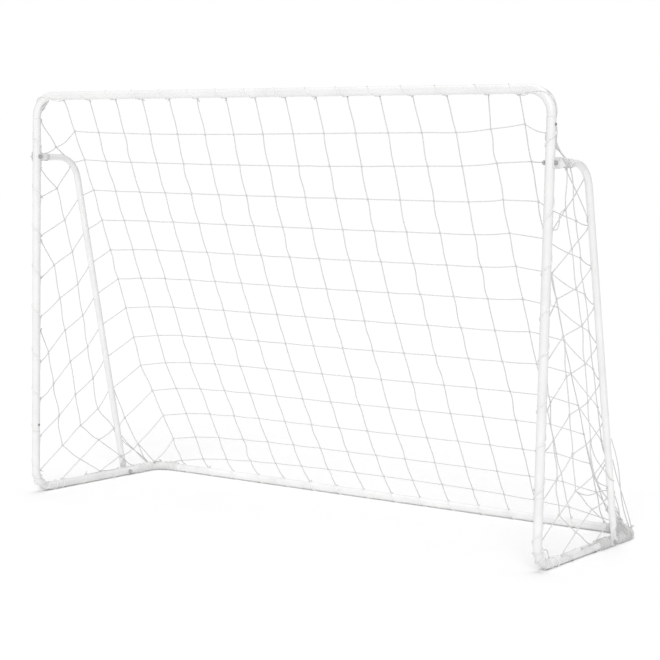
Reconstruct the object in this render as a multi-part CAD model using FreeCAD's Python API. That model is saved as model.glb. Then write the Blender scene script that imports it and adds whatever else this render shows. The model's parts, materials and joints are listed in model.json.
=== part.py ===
"""Soccer goal frame: push-fit steel tubes, two bolted braces and a net.

Millimetres. +X is to the right seen from the front, +Y is towards the back, +Z is up.
The origin is on the floor, in the middle of the footprint.
"""
import FreeCAD, Part
import math
import os
from FreeCAD import Vector

# ---- overall size, over the tubes ------------------------------------------
WIDTH = 2150.0
HEIGHT = 1500.0
DEPTH = 760.0

# ---- tubes -----------------------------------------------------------------
TUBE_R = 15.0
WALL = 1.0
BEND_R = 78.0
SEAM_FROM_CORNER = 84.0
SPIGOT_GAP = 0.2
SPIGOT_LENGTH = 50.0
SHOULDER = 1.6
GROOVE = 0.4
LOWER_SEAM_Z = 236.0
GROUND_SEAM_FROM_POST = 175.0

# ---- braces ----------------------------------------------------------------
BRACE_R = 12.0
BRACE_WALL = 1.0
BRACE_BEND_R = 100.0
BRACE_Z = 1263.0
BRACE_CORNER_FROM_POST = 222.0
BRACE_FOOT_FROM_POST = 525.0
TAB_HALF_WIDTH = 18.0
TAB_END = 11.0
TAB_CORNER_R = 9.0
TAB_LENGTH = 34.0
TAPER_END = 60.0
TAB_CLEARANCE = 0.2
# Sections of the taper: share of its length, half width, half thickness.
TAPER_OUTSIDE = [(0.3, 16.8, 4.5), (0.65, 14.2, 9.5)]
TAPER_INSIDE = [(0.46, 13.5, 4.4), (0.74, 12.2, 8.8)]

# ---- bolts through the brace ends, M8 --------------------------------------
BOLT_R = 4.0
BOLT_HOLE_R = 4.3
HEX_FLATS = 13.0
HEX_CHAMFER = 0.07
HEAD_HEIGHT = 5.3
NUT_HEIGHT = 6.5
WASHER_R = 8.0
WASHER_THICKNESS = 1.6
THREAD_PAST_NUT = 3.0
CONTACT = 0.05

# ---- spring buttons --------------------------------------------------------
BUTTON_R = 4.75
BUTTON_CLEARANCE = 0.1
BUTTON_PROUD = 4.0
DOME_HEIGHT = 2.4
BUTTON_FROM_SEAM = 23.0
FLANGE_R = 6.2
FLANGE_BOTTOM = 9.6
FLANGE_THICKNESS = 0.9
LEAF_WIDTH = 8.0
LEAF_THICKNESS = 0.8
LEAF_GAP = 0.1
LEAF_END = 6.0
LEAF_BEND_START = 20.0
LEAF_BEND_TIP = 22.0
LEAF_BEND_HALF = 3.0
LEAF_FOOT_START = 4.0
LEAF_FOOT_TOE = 11.2
LEAF_FOOT_HEEL = 10.4

# ---- net -------------------------------------------------------------------
CORD = 3.0
CELLS_ACROSS = 17
CELLS_DOWN = 13
SIDE_CELLS = 6
NET_GAP = 5.0
SIDE_NET_GAP = 3.0
NET_BOTTOM_Z = 36.0

# ---- centrelines worked out from the size ----------------------------------
POST_X = WIDTH / 2 - TUBE_R
TOP_Z = HEIGHT - TUBE_R
GROUND_Z = TUBE_R
FRONT_Y = -DEPTH / 2 + TUBE_R
REAR_Y = DEPTH / 2 - TUBE_R
SPIGOT_R = TUBE_R - WALL - SPIGOT_GAP
UPPER_SEAM_Z = TOP_Z - SEAM_FROM_CORNER
GROUND_SEAM_Y = FRONT_Y + GROUND_SEAM_FROM_POST
REAR_SEAM_Y = REAR_Y - SEAM_FROM_CORNER
BRACE_X = POST_X + TUBE_R + TAB_CLEARANCE + BRACE_WALL

SIDES = {"left": -1, "right": 1}
UP = Vector(0, 0, 1)
DOWN = Vector(0, 0, -1)
BACK = Vector(0, 1, 0)
FORWARD = Vector(0, -1, 0)
RIGHT = Vector(1, 0, 0)


def save(name, shape):
    """Write one node as a STEP file."""
    shape.exportStep("parts/" + name + ".step")


def moved_by(shape, origin, rotation):
    """A copy of a shape, turned and then moved to origin."""
    moved = shape.copy()
    moved.Placement = FreeCAD.Placement(origin, rotation).multiply(shape.Placement)
    return moved


def place(shape, origin, direction):
    """Move a shape built along +Z so that it stands on origin and points along direction."""
    return moved_by(shape, origin, FreeCAD.Rotation(UP, direction))


def mirrored(shape, side):
    """The right-hand shape as it is, or its mirror image on the left."""
    if side == "right":
        return shape
    return shape.mirror(Vector(0, 0, 0), RIGHT)


# ---- tubes -----------------------------------------------------------------
def straight_run(start, end, radius, wall):
    """A straight piece of hollow tube."""
    run = end - start
    outer = Part.makeCylinder(radius, run.Length, start, run)
    return outer.cut(Part.makeCylinder(radius - wall, run.Length, start, run))


def bend(start, direction, centre, axis, turn, radius, wall):
    """A curved piece of hollow tube: its ring-shaped section at start, turned about axis."""
    rings = []
    for r in (radius, radius - wall):
        rings.append(Part.Wire([Part.makeCircle(r, start, direction)]))
    return Part.Face(rings).revolve(centre, axis, math.degrees(turn))


def tube(points, radius, wall, bend_radius=BEND_R):
    """A hollow tube through the points, with a tangent bend at each inner point."""
    pieces = []
    start = points[0]
    for before, corner, after in zip(points, points[1:], points[2:]):
        into = (corner - before).normalize()
        out = (after - corner).normalize()
        turn = into.getAngle(out)
        reach = bend_radius * math.tan(turn / 2)
        axis = into.cross(out).normalize()
        arc_start = corner - into * reach
        centre = arc_start + axis.cross(into) * bend_radius
        pieces.append(straight_run(start, arc_start, radius, wall))
        pieces.append(bend(arc_start, into, centre, axis, turn, radius, wall))
        start = corner + out * reach
    pieces.append(straight_run(start, points[-1], radius, wall))
    if len(pieces) == 1:
        return pieces[0]
    return pieces[0].multiFuse(pieces[1:])


def spigot(end, direction):
    """The narrowed end of a tube: a short shoulder, then the part that goes inside the next tube."""
    tip = SHOULDER + SPIGOT_LENGTH
    outline = [
        (TUBE_R - WALL, 0),
        (TUBE_R, 0),
        (SPIGOT_R, SHOULDER),
        (SPIGOT_R, tip - WALL),
        (SPIGOT_R - WALL / 2, tip),
        (SPIGOT_R - WALL, tip),
        (SPIGOT_R - WALL, SHOULDER),
    ]
    corners = [Vector(r, 0, z) for r, z in outline]
    face = Part.Face(Part.makePolygon(corners + corners[:1]))
    return place(face.revolve(Vector(0, 0, 0), UP, 360), end, direction)


def before_seam(seam, outward):
    """Where a tube with a spigot stops, so that its shoulder ends at the seam."""
    return seam - outward * (SHOULDER + GROOVE)


def bored(shape, centre, direction, radius, start, length):
    """Cut a round hole from start to start + length along direction from centre."""
    tool = Part.makeCylinder(radius, length, centre + direction * start, direction)
    return shape.cut(tool)


def button_hole(shape, centre, outward):
    """The hole that a spring button stands in, through one wall."""
    return bored(shape, centre, outward, BUTTON_R + BUTTON_CLEARANCE, SPIGOT_R / 2, TUBE_R)


def upper_button_at(side):
    """Centre on the post's axis, and the outward direction, of an upper button."""
    sign = SIDES[side]
    return Vector(sign * POST_X, FRONT_Y, UPPER_SEAM_Z - BUTTON_FROM_SEAM), Vector(sign, 0, 0)


def lower_button_at(side):
    """The same for a lower button, which faces inward."""
    sign = SIDES[side]
    return Vector(sign * POST_X, FRONT_Y, LOWER_SEAM_Z + BUTTON_FROM_SEAM), Vector(-sign, 0, 0)


def middle_joint(side, inward):
    """Centre end of a tube that reaches the goal's middle: the right one carries the spigot."""
    if side == "left":
        return Vector(0, 0, 0)
    return before_seam(Vector(0, 0, 0), inward)


def half_with_corner(side, level, corner_end, corner_direction):
    """Half of the crossbar or of the rear tube, from the middle round its corner to a spigot.

    level is the tube's place in Y and Z; corner_end is the seam past the corner.
    """
    sign = SIDES[side]
    inward = Vector(-sign, 0, 0)
    middle = level + middle_joint(side, inward)
    corner = level + Vector(sign * POST_X, 0, 0)
    end = before_seam(corner_end, corner_direction)
    body = tube([middle, corner, end], TUBE_R, WALL)
    body = body.fuse(spigot(end, corner_direction))
    if side == "right":
        body = body.fuse(spigot(middle, inward))
    return body.removeSplitter()


def crossbar(side):
    """Half of the crossbar with its rounded top corner."""
    seam = Vector(SIDES[side] * POST_X, FRONT_Y, UPPER_SEAM_Z)
    body = half_with_corner(side, Vector(0, FRONT_Y, TOP_Z), seam, DOWN)
    return button_hole(body, *upper_button_at(side))


def rear_corner(side):
    """Half of the rear ground tube with its rounded rear corner."""
    seam = Vector(SIDES[side] * POST_X, REAR_SEAM_Y, GROUND_Z)
    return half_with_corner(side, Vector(0, REAR_Y, GROUND_Z), seam, FORWARD)


def lower_corner(side):
    """Foot of the post, rounded corner and start of the side ground tube, a spigot at each end."""
    x = SIDES[side] * POST_X
    top = before_seam(Vector(x, FRONT_Y, LOWER_SEAM_Z), UP)
    corner = Vector(x, FRONT_Y, GROUND_Z)
    back = before_seam(Vector(x, GROUND_SEAM_Y, GROUND_Z), BACK)
    body = tube([top, corner, back], TUBE_R, WALL)
    body = body.fuse(spigot(top, UP)).fuse(spigot(back, BACK)).removeSplitter()
    return button_hole(body, *lower_button_at(side))


def brace_bolt_at(side):
    """Where the two bolts of a brace cross the tubes' axes."""
    x = SIDES[side] * POST_X
    post = Vector(x, FRONT_Y, BRACE_Z)
    ground = Vector(x, FRONT_Y + BRACE_FOOT_FROM_POST, GROUND_Z)
    return post, ground


def bolt_hole(shape, centre):
    """A hole for a brace bolt, through both walls."""
    return bored(shape, centre, RIGHT, BOLT_HOLE_R, -2 * TUBE_R, 4 * TUBE_R)


def post(side):
    """Straight post tube, with holes for both buttons and the brace bolt."""
    x = SIDES[side] * POST_X
    body = tube([Vector(x, FRONT_Y, LOWER_SEAM_Z), Vector(x, FRONT_Y, UPPER_SEAM_Z)], TUBE_R, WALL)
    body = button_hole(body, *upper_button_at(side))
    body = button_hole(body, *lower_button_at(side))
    return bolt_hole(body, brace_bolt_at(side)[0])


def ground_side(side):
    """Straight side ground tube, with the hole for the bolt at the brace's foot."""
    x = SIDES[side] * POST_X
    front = Vector(x, GROUND_SEAM_Y, GROUND_Z)
    back = Vector(x, REAR_SEAM_Y, GROUND_Z)
    return bolt_hole(tube([front, back], TUBE_R, WALL), brace_bolt_at(side)[1])


# ---- braces ----------------------------------------------------------------
def oval(half_width, half_thickness, height):
    """An oval wire across +Z at a height, its long way along Y."""
    if half_width - half_thickness < CONTACT:
        return Part.Wire([Part.makeCircle(half_width, Vector(0, 0, height), UP)])
    ellipse = Part.Ellipse(
        Vector(0, half_width, height), Vector(-half_thickness, 0, height), Vector(0, 0, height)
    )
    return Part.Wire([ellipse.toShape()])


def flat_tab():
    """The pressed-flat end of a brace, two walls thick, with its bolt hole."""
    w = TAB_HALF_WIDTH
    r = TAB_CORNER_R
    low = -TAB_END
    nook = r - r / math.sqrt(2)
    edges = [
        Part.LineSegment(Vector(0, w, TAB_LENGTH), Vector(0, w, low + r)).toShape(),
        Part.Arc(Vector(0, w, low + r), Vector(0, w - nook, low + nook), Vector(0, w - r, low)).toShape(),
        Part.LineSegment(Vector(0, w - r, low), Vector(0, r - w, low)).toShape(),
        Part.Arc(Vector(0, r - w, low), Vector(0, nook - w, low + nook), Vector(0, -w, low + r)).toShape(),
        Part.LineSegment(Vector(0, -w, low + r), Vector(0, -w, TAB_LENGTH)).toShape(),
        Part.LineSegment(Vector(0, -w, TAB_LENGTH), Vector(0, w, TAB_LENGTH)).toShape(),
    ]
    face = Part.Face(Part.Wire(edges))
    plate = face.extrude(RIGHT * (2 * BRACE_WALL))
    plate.translate(RIGHT * -BRACE_WALL)
    return bored(plate, Vector(0, 0, 0), RIGHT, BOLT_HOLE_R, -TUBE_R, 2 * TUBE_R)


def taper_sections(sections, round_radius):
    """The ovals of the taper, ending in the round section of the tube."""
    wires = []
    for share, half_width, half_thickness in sections:
        height = TAB_LENGTH + share * (TAPER_END - TAB_LENGTH)
        wires.append(oval(half_width, half_thickness, height))
    wires.append(oval(round_radius, round_radius, TAPER_END))
    return wires


def flattened_end():
    """A brace end built along +Z: flat tab round the bolt at the origin, then the taper to the tube."""
    flat_section = oval(TAB_HALF_WIDTH, BRACE_WALL, TAB_LENGTH - BRACE_WALL)
    outer = [flat_section] + taper_sections(TAPER_OUTSIDE, BRACE_R)
    inner = taper_sections(TAPER_INSIDE, BRACE_R - BRACE_WALL)
    return flat_tab().fuse(Part.makeLoft(outer, True)).cut(Part.makeLoft(inner, True))


def brace(side):
    """Bent brace tube on the outside of the post and of the side ground tube."""
    upper, lower = brace_bolt_at("right")
    upper.x = BRACE_X
    lower.x = BRACE_X
    corner = upper + BACK * BRACE_CORNER_FROM_POST
    to_corner = (corner - lower).normalize()
    start = upper + BACK * TAPER_END
    end = lower + to_corner * TAPER_END
    body = tube([start, corner, end], BRACE_R, BRACE_WALL, BRACE_BEND_R)
    body = body.fuse(place(flattened_end(), upper, BACK))
    body = body.fuse(place(flattened_end(), lower, to_corner))
    return mirrored(body.removeSplitter(), side)


# ---- fasteners -------------------------------------------------------------
def hex_prism(height):
    """A hexagonal prism on the XY plane."""
    radius = HEX_FLATS / math.sqrt(3)
    corners = []
    for k in range(6):
        turn = math.radians(60 * k)
        corners.append(Vector(radius * math.cos(turn), radius * math.sin(turn), 0))
    face = Part.Face(Part.makePolygon(corners + corners[:1]))
    prism = face.extrude(Vector(0, 0, height))
    cut_off = radius * HEX_CHAMFER
    crown = Part.makeCone(radius + height, radius - cut_off, height + cut_off)
    return prism.common(crown)


HEAD_FACE = TUBE_R + TAB_CLEARANCE + 2 * BRACE_WALL + CONTACT
NUT_FACE = TUBE_R + CONTACT


def bolt(centre, outward):
    """Bolt with its head on the outside of the brace."""
    head_base = HEAD_FACE + WASHER_THICKNESS + CONTACT
    tip = NUT_FACE + WASHER_THICKNESS + NUT_HEIGHT + THREAD_PAST_NUT
    head = place(hex_prism(HEAD_HEIGHT), centre + outward * head_base, outward)
    shank = Part.makeCylinder(BOLT_R, head_base + tip + 1, centre - outward * tip, outward)
    return head.fuse(shank)


def nut(centre, outward):
    """Nut on the inner side of the tube."""
    face = centre - outward * (NUT_FACE + WASHER_THICKNESS + CONTACT)
    body = place(hex_prism(NUT_HEIGHT), face, outward * -1)
    return bored(body, centre, outward, BOLT_R + CONTACT, -3 * TUBE_R, 3 * TUBE_R)


def washer(base, direction):
    """Flat washer that starts at base."""
    disc = Part.makeCylinder(WASHER_R, WASHER_THICKNESS, base, direction)
    return bored(disc, base, direction, BOLT_HOLE_R, -1, WASHER_THICKNESS + 2)


def save_fasteners():
    """The bolts, nuts and washers of both braces, each kind in one node."""
    bolts = []
    nuts = []
    washers = []
    for side, sign in SIDES.items():
        outward = Vector(sign, 0, 0)
        for centre in brace_bolt_at(side):
            bolts.append(bolt(centre, outward))
            nuts.append(nut(centre, outward))
            washers.append(washer(centre + outward * HEAD_FACE, outward))
            washers.append(washer(centre - outward * NUT_FACE, outward * -1))
    save("brace_bolts", Part.makeCompound(bolts))
    save("brace_nuts", Part.makeCompound(nuts))
    save("brace_washers", Part.makeCompound(washers))


# ---- spring buttons --------------------------------------------------------
def button():
    """Round button along +Z: flange inside the tube, stem, and domed top outside."""
    top = TUBE_R + BUTTON_PROUD
    stem = Part.makeCylinder(BUTTON_R, top - FLANGE_BOTTOM, Vector(0, 0, FLANGE_BOTTOM))
    dome_r = (BUTTON_R**2 + DOME_HEIGHT**2) / (2 * DOME_HEIGHT)
    dome = Part.makeSphere(dome_r, Vector(0, 0, top - dome_r))
    below_dome = Part.makeCylinder(BUTTON_R, top - DOME_HEIGHT - FLANGE_BOTTOM, Vector(0, 0, FLANGE_BOTTOM))
    flange = Part.makeCylinder(FLANGE_R, FLANGE_THICKNESS, Vector(0, 0, FLANGE_BOTTOM))
    return stem.common(dome).multiFuse([below_dome, flange]).removeSplitter()


def ribbon(points, thickness):
    """Closed outline of a strip of even thickness along a polyline in the XZ plane."""
    normals = []
    for a, b in zip(points, points[1:]):
        along = (b - a).normalize()
        normals.append(Vector(-along.z, 0, along.x))
    left = []
    right = []
    for k, point in enumerate(points):
        before = normals[max(k - 1, 0)]
        after = normals[min(k, len(normals) - 1)]
        mitre = before + after
        offset = mitre * (thickness / mitre.dot(mitre))
        left.append(point + offset)
        right.append(point - offset)
    loop = left + right[::-1]
    return Part.makePolygon(loop + loop[:1])


def leaf_spring():
    """V-shaped leaf spring: one leg under the button's flange, the other against the far wall."""
    top = FLANGE_BOTTOM - LEAF_GAP - LEAF_THICKNESS / 2
    outline = [
        (-LEAF_END, top),
        (LEAF_END, top),
        (LEAF_BEND_START, LEAF_BEND_HALF),
        (LEAF_BEND_TIP, 0),
        (LEAF_BEND_START, -LEAF_BEND_HALF),
        (LEAF_FOOT_START, -LEAF_FOOT_HEEL),
        (-LEAF_END, -LEAF_FOOT_TOE),
    ]
    points = [Vector(x, 0, z) for x, z in outline]
    face = Part.Face(ribbon(points, LEAF_THICKNESS))
    strip = face.extrude(Vector(0, LEAF_WIDTH, 0))
    strip.translate(Vector(0, -LEAF_WIDTH / 2, 0))
    return strip


def put_in_post(shape, centre, outward, deeper):
    """Turn a shape so that its +Z is the button's outward way and its +X runs deeper into the joint."""
    across = outward.cross(deeper)
    return moved_by(shape, centre, FreeCAD.Rotation(deeper, across, outward, "ZXY"))


def save_buttons(side):
    """Both spring buttons of a post, with their leaf springs."""
    joints = {"upper": (upper_button_at(side), DOWN), "lower": (lower_button_at(side), UP)}
    for level, ((centre, outward), deeper) in joints.items():
        save(level + "_button_" + side, put_in_post(button(), centre, outward, deeper))
        save(level + "_spring_" + side, put_in_post(leaf_spring(), centre, outward, deeper))


# ---- net -------------------------------------------------------------------
def net_back():
    """The back of the net, a flat mesh from behind the crossbar down to the rear tube."""
    top = Vector(0, FRONT_Y + TUBE_R + NET_GAP, TOP_Z)
    bottom = Vector(0, REAR_Y, NET_BOTTOM_Z)
    slope = bottom - top
    half_width = POST_X - TUBE_R / 2
    pitch_x = (2 * half_width - CORD) / CELLS_ACROSS
    pitch_down = (slope.Length - CORD) / CELLS_DOWN
    frame = Part.makePlane(2 * half_width, slope.Length, Vector(-half_width, 0, 0))
    holes = []
    for i in range(CELLS_ACROSS):
        for j in range(CELLS_DOWN):
            corner = Vector(-half_width + CORD + i * pitch_x, CORD + j * pitch_down, 0)
            holes.append(Part.makePlane(pitch_x - CORD, pitch_down - CORD, corner).Wires[0])
    face = Part.Face([frame.Wires[0]] + holes)
    face.validate()
    mesh = face.extrude(Vector(0, 0, CORD))
    return moved_by(mesh, top, FreeCAD.Rotation(RIGHT, slope, slope, "XYZ"))


def net_side(side):
    """A side of the net, a flat mesh outside the brace, from the post back to the net's edge."""
    x = BRACE_X + BRACE_R + SIDE_NET_GAP
    corners = [
        Vector(x, FRONT_Y, NET_BOTTOM_Z),
        Vector(x, REAR_Y, NET_BOTTOM_Z),
        Vector(x, FRONT_Y + BRACE_CORNER_FROM_POST + BRACE_R, BRACE_Z + BRACE_R),
        Vector(x, FRONT_Y, TOP_Z - TUBE_R),
    ]
    panel = Part.Face(Part.makePolygon(corners + corners[:1])).extrude(RIGHT * CORD)
    bars = []
    for a, b in zip(corners, corners[1:] + corners[:1]):
        run = b - a
        bars.append(edge_bar(a, run))
    height = TOP_Z - TUBE_R - NET_BOTTOM_Z
    for j in range(1, CELLS_DOWN):
        z = NET_BOTTOM_Z + j * height / CELLS_DOWN
        bars.append(Part.makeBox(CORD, DEPTH, CORD, Vector(x, FRONT_Y, z - CORD / 2)))
    for i in range(1, SIDE_CELLS):
        y = FRONT_Y + i * (REAR_Y - FRONT_Y) / SIDE_CELLS
        bars.append(Part.makeBox(CORD, CORD, height, Vector(x, y - CORD / 2, NET_BOTTOM_Z)))
    mesh = bars[0].multiFuse(bars[1:]).common(panel).removeSplitter()
    return mirrored(mesh, side)


def edge_bar(start, run):
    """A border cord of a side net, centred on an edge of its outline."""
    bar = Part.makeBox(CORD, 2 * CORD, run.Length + 2 * CORD, Vector(0, -CORD, -CORD))
    return moved_by(bar, start, FreeCAD.Rotation(RIGHT, run, run, "XZY"))


def main():
    """Build every node."""
    os.makedirs("parts", exist_ok=True)
    for side in SIDES:
        save("crossbar_" + side, crossbar(side))
        save("post_" + side, post(side))
        save("lower_corner_" + side, lower_corner(side))
        save("ground_side_" + side, ground_side(side))
        save("rear_corner_" + side, rear_corner(side))
        save("brace_" + side, brace(side))
        save("net_side_" + side, net_side(side))
        save_buttons(side)
    save_fasteners()
    save("net_back", net_back())


main()
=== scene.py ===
import json
import math
import random

import bpy
import numpy as np
from mathutils import Matrix

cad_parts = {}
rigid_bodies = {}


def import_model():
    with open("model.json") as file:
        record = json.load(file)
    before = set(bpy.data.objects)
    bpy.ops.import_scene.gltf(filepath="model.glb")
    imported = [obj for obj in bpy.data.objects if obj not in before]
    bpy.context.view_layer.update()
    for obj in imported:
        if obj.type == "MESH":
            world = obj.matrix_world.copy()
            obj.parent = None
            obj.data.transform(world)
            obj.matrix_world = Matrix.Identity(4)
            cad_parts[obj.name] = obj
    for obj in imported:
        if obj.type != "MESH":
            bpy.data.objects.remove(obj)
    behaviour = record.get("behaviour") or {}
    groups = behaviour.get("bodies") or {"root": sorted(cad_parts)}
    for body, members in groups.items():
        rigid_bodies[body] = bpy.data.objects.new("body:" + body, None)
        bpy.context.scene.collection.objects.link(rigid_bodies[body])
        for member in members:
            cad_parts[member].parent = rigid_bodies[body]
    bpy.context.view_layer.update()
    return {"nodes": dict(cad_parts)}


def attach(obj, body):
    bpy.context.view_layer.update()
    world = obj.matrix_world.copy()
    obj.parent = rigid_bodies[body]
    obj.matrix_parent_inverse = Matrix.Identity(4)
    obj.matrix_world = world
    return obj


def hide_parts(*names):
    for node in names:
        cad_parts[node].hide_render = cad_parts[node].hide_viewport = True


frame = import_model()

# The goal's net, the cord that laces it to the tubes, and the finishes of the steel parts.
# Metres, Z up, X across the goal mouth, Y from the mouth to the rear.
rng = random.Random(11)

# ---------------------------------------------------------------- the frame's own dimensions
TUBE_R = 0.015
POST_X = 1.060
FRONT_Y = -0.365
REAR_Y = 0.365
TOP_Z = 1.485
GROUND_Z = 0.015
BEND_R = 0.078
BRACE_X = 1.0762
BRACE_Z = 1.263
BRACE_R = 0.012
BRACE_BEND_R = 0.100
# behind the mouth: the corner of the brace's bend, and its foot
BRACE_CORNER = 0.222
BRACE_FOOT = 0.525
SIGNS = (-1, 1)

# ---------------------------------------------------------------- the net's dimensions
# Everything that differs between the sides is kept by sign: -1 is the left side, 1 the right.
CORD_R = 0.0018
ON_TUBE = TUBE_R + CORD_R
ON_BRACE = BRACE_R + CORD_R
CELLS = 17
LAST_ROW = 13
ROW_PITCH = 0.1295
FLAP_PITCH = 0.1245
FLAP_COLUMN_PITCHES = (0.132, 0.129, 0.129, 0.129)
COLUMN_LENGTH = 1.630
# The back panel's columns end in a part below their last knot, short at the panel's edges.
LAST_PART_MIDDLE = 0.092
LAST_PART_SIDES = 0.026
EDGE_FADE = 1.6
CORD_WEIGHT = 0.020
SLACK_SHOWN = 0.25
# Each flap column: first row, last row, its upper tie (a height on the post, or a distance
# behind the mouth under the brace's level run), its foot along the side tube, length before
# its first knot and after its last. The corner's column has its foot at the rear corner, and
# the right's first column, between the back panel and the corner's, has it at the hub.
LOWER_COLUMNS = (
    (4, 11, ("post", 0.954), 0.210, 0.125, 0.11),
    (6, 11, ("post", 0.617), 0.115, 0.100, 0.11),
)
UPPER_TIE_Z = 1.398
FLAP_COLUMNS = {
    -1: (
        (1, 12, ("post", UPPER_TIE_Z), None, 0.134, 0.05),
        (2, 11, ("post", 1.221), 0.295, 0.134, 0.10),
    ) + LOWER_COLUMNS,
    1: (
        (3, 9, ("brace", 0.105), None, 0.165, 0.10),
        (3, 12, ("brace", 0.068), None, 0.235, 0.05),
        (2, 11, ("brace", 0.082), 0.295, 0.172, 0.10),
    ) + LOWER_COLUMNS,
}
# Which of a side's columns is the corner's.
CORNER = {-1: 0, 1: 1}
# Heights of the rows' ties on the posts, and places of those on the side tubes.
POST_TIES = {
    -1: {2: 1.114, 3: 0.969, 4: 0.812, 5: 0.666, 6: 0.496, 7: 0.356, 8: 0.215, 9: 0.083},
    1: {3: 0.910, 4: 0.770, 5: 0.645, 6: 0.480, 7: 0.370, 8: 0.215, 9: 0.083},
}
SIDE_TIES = {10: -0.214, 11: -0.075}
# On the right the two upper rows stop at the post's inner side: height of the tie, row length.
INNER_TIES = {1: (1.352, 0.126), 2: (1.262, 0.130)}
# Also on the right, one cord runs from the post through a flap knot to the brace's bend.
HITCH_Z = 1.040
HITCH_LENGTH = 0.120
BEND_TIE = (-0.150, 1.215)
BEND_TIE_LENGTH = 0.142
# Row lengths: between the back panel's columns, from its edge column outwards beyond the usual
# pitch, and on the right before and after the corner's column.
MIDDLE_PITCH = 0.1258
LEFT_EDGE_EXTRA = 0.044
RIGHT_EDGE_EXTRA = 0.016
RIGHT_LOW_EXTRA = 0.03
RIGHT_CORNER_PITCHES = (0.118, 0.105)
# At the right end of the crossbar: how far two columns are tied from even spacing, and how much
# shorter their first part is.
TIE_SHIFTS = {CELLS - 2: (0.025, 0.012), CELLS - 1: (0.008, 0.026)}
# Length of each row's last part, out to its tie.
ROW_ENDS = {
    1: 0.09, 2: 0.11, 3: 0.165, 4: 0.10, 5: 0.14, 6: 0.08, 7: 0.12,
    8: 0.13, 9: 0.15, 10: 0.12, 11: 0.09, 12: 0.05, 13: 0.05,
}
# The rows that meet the braces' straight runs: round the left one, inside along the right one.
ROUND_BRACE_ROWS = range(3, 10)
# The left corner column's second knot, over the outside of the brace's bend: Y and Z.
OVER_BEND = (-0.140, 1.243)
# Where the relaxation starts: heights of the third row on the flaps and beside the left brace,
# and the drop to the next row.
FLAP_START_Z = 1.114
ROUND_START_Z = 1.094
START_PITCH = 0.126
# The braces' tabs: heights on the post above and below one, places along the side tube before
# and behind the other.
POST_TAB = (1.300, 1.226)
SIDE_TAB = (0.130, 0.190)


def unit(v):
    v = np.asarray(v, float)
    return v / np.linalg.norm(v)


# ---------------------------------------------------------------- lines of the tubes
def rounded(corners, radius, closed, step):
    """Points along straight runs joined by arcs of one radius."""
    corners = [np.array(c, float) for c in corners]
    count = len(corners)
    points = []
    for i, corner in enumerate(corners):
        if not closed and i in (0, count - 1):
            points.append(corner)
            continue
        before = unit(corners[i - 1] - corner)
        after = unit(corners[(i + 1) % count] - corner)
        half = math.acos(np.dot(before, after)) / 2
        middle = unit(before + after)
        centre = corner + middle * radius / math.sin(half)
        turn = math.pi - 2 * half
        start = corner + before * radius / math.tan(half) - centre
        steps = max(2, round(radius * turn / step))
        for k in range(steps + 1):
            a = turn * k / steps
            along = -unit(before) * radius
            points.append(centre + start * math.cos(a) + along * math.sin(a))
    if closed:
        points.append(points[0])
    line = [points[0]]
    for a, b in zip(points, points[1:]):
        parts = max(1, round(np.linalg.norm(b - a) / step))
        line += [a + (b - a) * k / parts for k in range(1, parts + 1)]
    return np.array(line)


def brace_line(sign):
    x = sign * BRACE_X
    corners = (
        (x, FRONT_Y, BRACE_Z),
        (x, FRONT_Y + BRACE_CORNER, BRACE_Z),
        (x, FRONT_Y + BRACE_FOOT, GROUND_Z),
    )
    return rounded(corners, BRACE_BEND_R, False, 0.012)


FRAME_CORNERS = (
    (-POST_X, FRONT_Y, TOP_Z),
    (POST_X, FRONT_Y, TOP_Z),
    (POST_X, FRONT_Y, GROUND_Z),
    (POST_X, REAR_Y, GROUND_Z),
    (-POST_X, REAR_Y, GROUND_Z),
    (-POST_X, FRONT_Y, GROUND_Z),
)
LOOP = rounded(FRAME_CORNERS, BEND_R, True, 0.006)
BRACES = {sign: brace_line(sign) for sign in SIGNS}


def frames_along(points):
    """For each point the line's direction and two square directions, carried along untwisted."""
    points = np.asarray(points, float)
    run = np.gradient(points, axis=0)
    run /= np.maximum(np.linalg.norm(run, axis=1), 1e-9)[:, None]
    first = np.cross(run[0], (0, 0, 1))
    if np.linalg.norm(first) < 0.1:
        first = np.cross(run[0], (0, 1, 0))
    normals = [unit(first)]
    for t in run[1:]:
        n = normals[-1] - t * np.dot(normals[-1], t)
        normals.append(n / max(np.linalg.norm(n), 1e-9))
    normals = np.array(normals)
    return run, normals, np.cross(run, normals)


# ---------------------------------------------------------------- the shape of the hanging net
# Directions for the relaxation: X, down along the brace's straight run, and square behind it.
BRACE_TOP = np.array((0, FRONT_Y + BRACE_CORNER, BRACE_Z))
BRACE_END = np.array((0, FRONT_Y + BRACE_FOOT, GROUND_Z))
ALONG = unit(BRACE_END - BRACE_TOP)
BEHIND = np.array((0, -ALONG[2], ALONG[1]))
AXES = np.array(((1, 0, 0), ALONG, BEHIND))
TIED = (True, True, True)
# At the right rear, strands drawn together in one knot against the brace.
HUB = np.array((BRACE_X - 0.2 * ON_BRACE, 0.132, 0.182)) + BEHIND * ON_BRACE


def flap_column(sign, k):
    return -k if sign < 0 else CELLS + k


def on_post(sign, z, inward=0.3, back=0.95):
    """A point beside a post's line; inward and back are shares of a cord's distance from it."""
    return (sign * (POST_X - inward * ON_TUBE), FRONT_Y + back * ON_TUBE, z)


def on_side_tube(sign, y, outward=0.5, up=0.87):
    """A point beside a side ground tube's line, as on_post()."""
    return (sign * (POST_X + outward * ON_TUBE), y, GROUND_Z + up * ON_TUBE)


def brace_at_height(z):
    """The point with that height on the brace's straight run, at X = 0."""
    return BRACE_TOP + ALONG * (BRACE_TOP[2] - z) / -ALONG[2]


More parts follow.
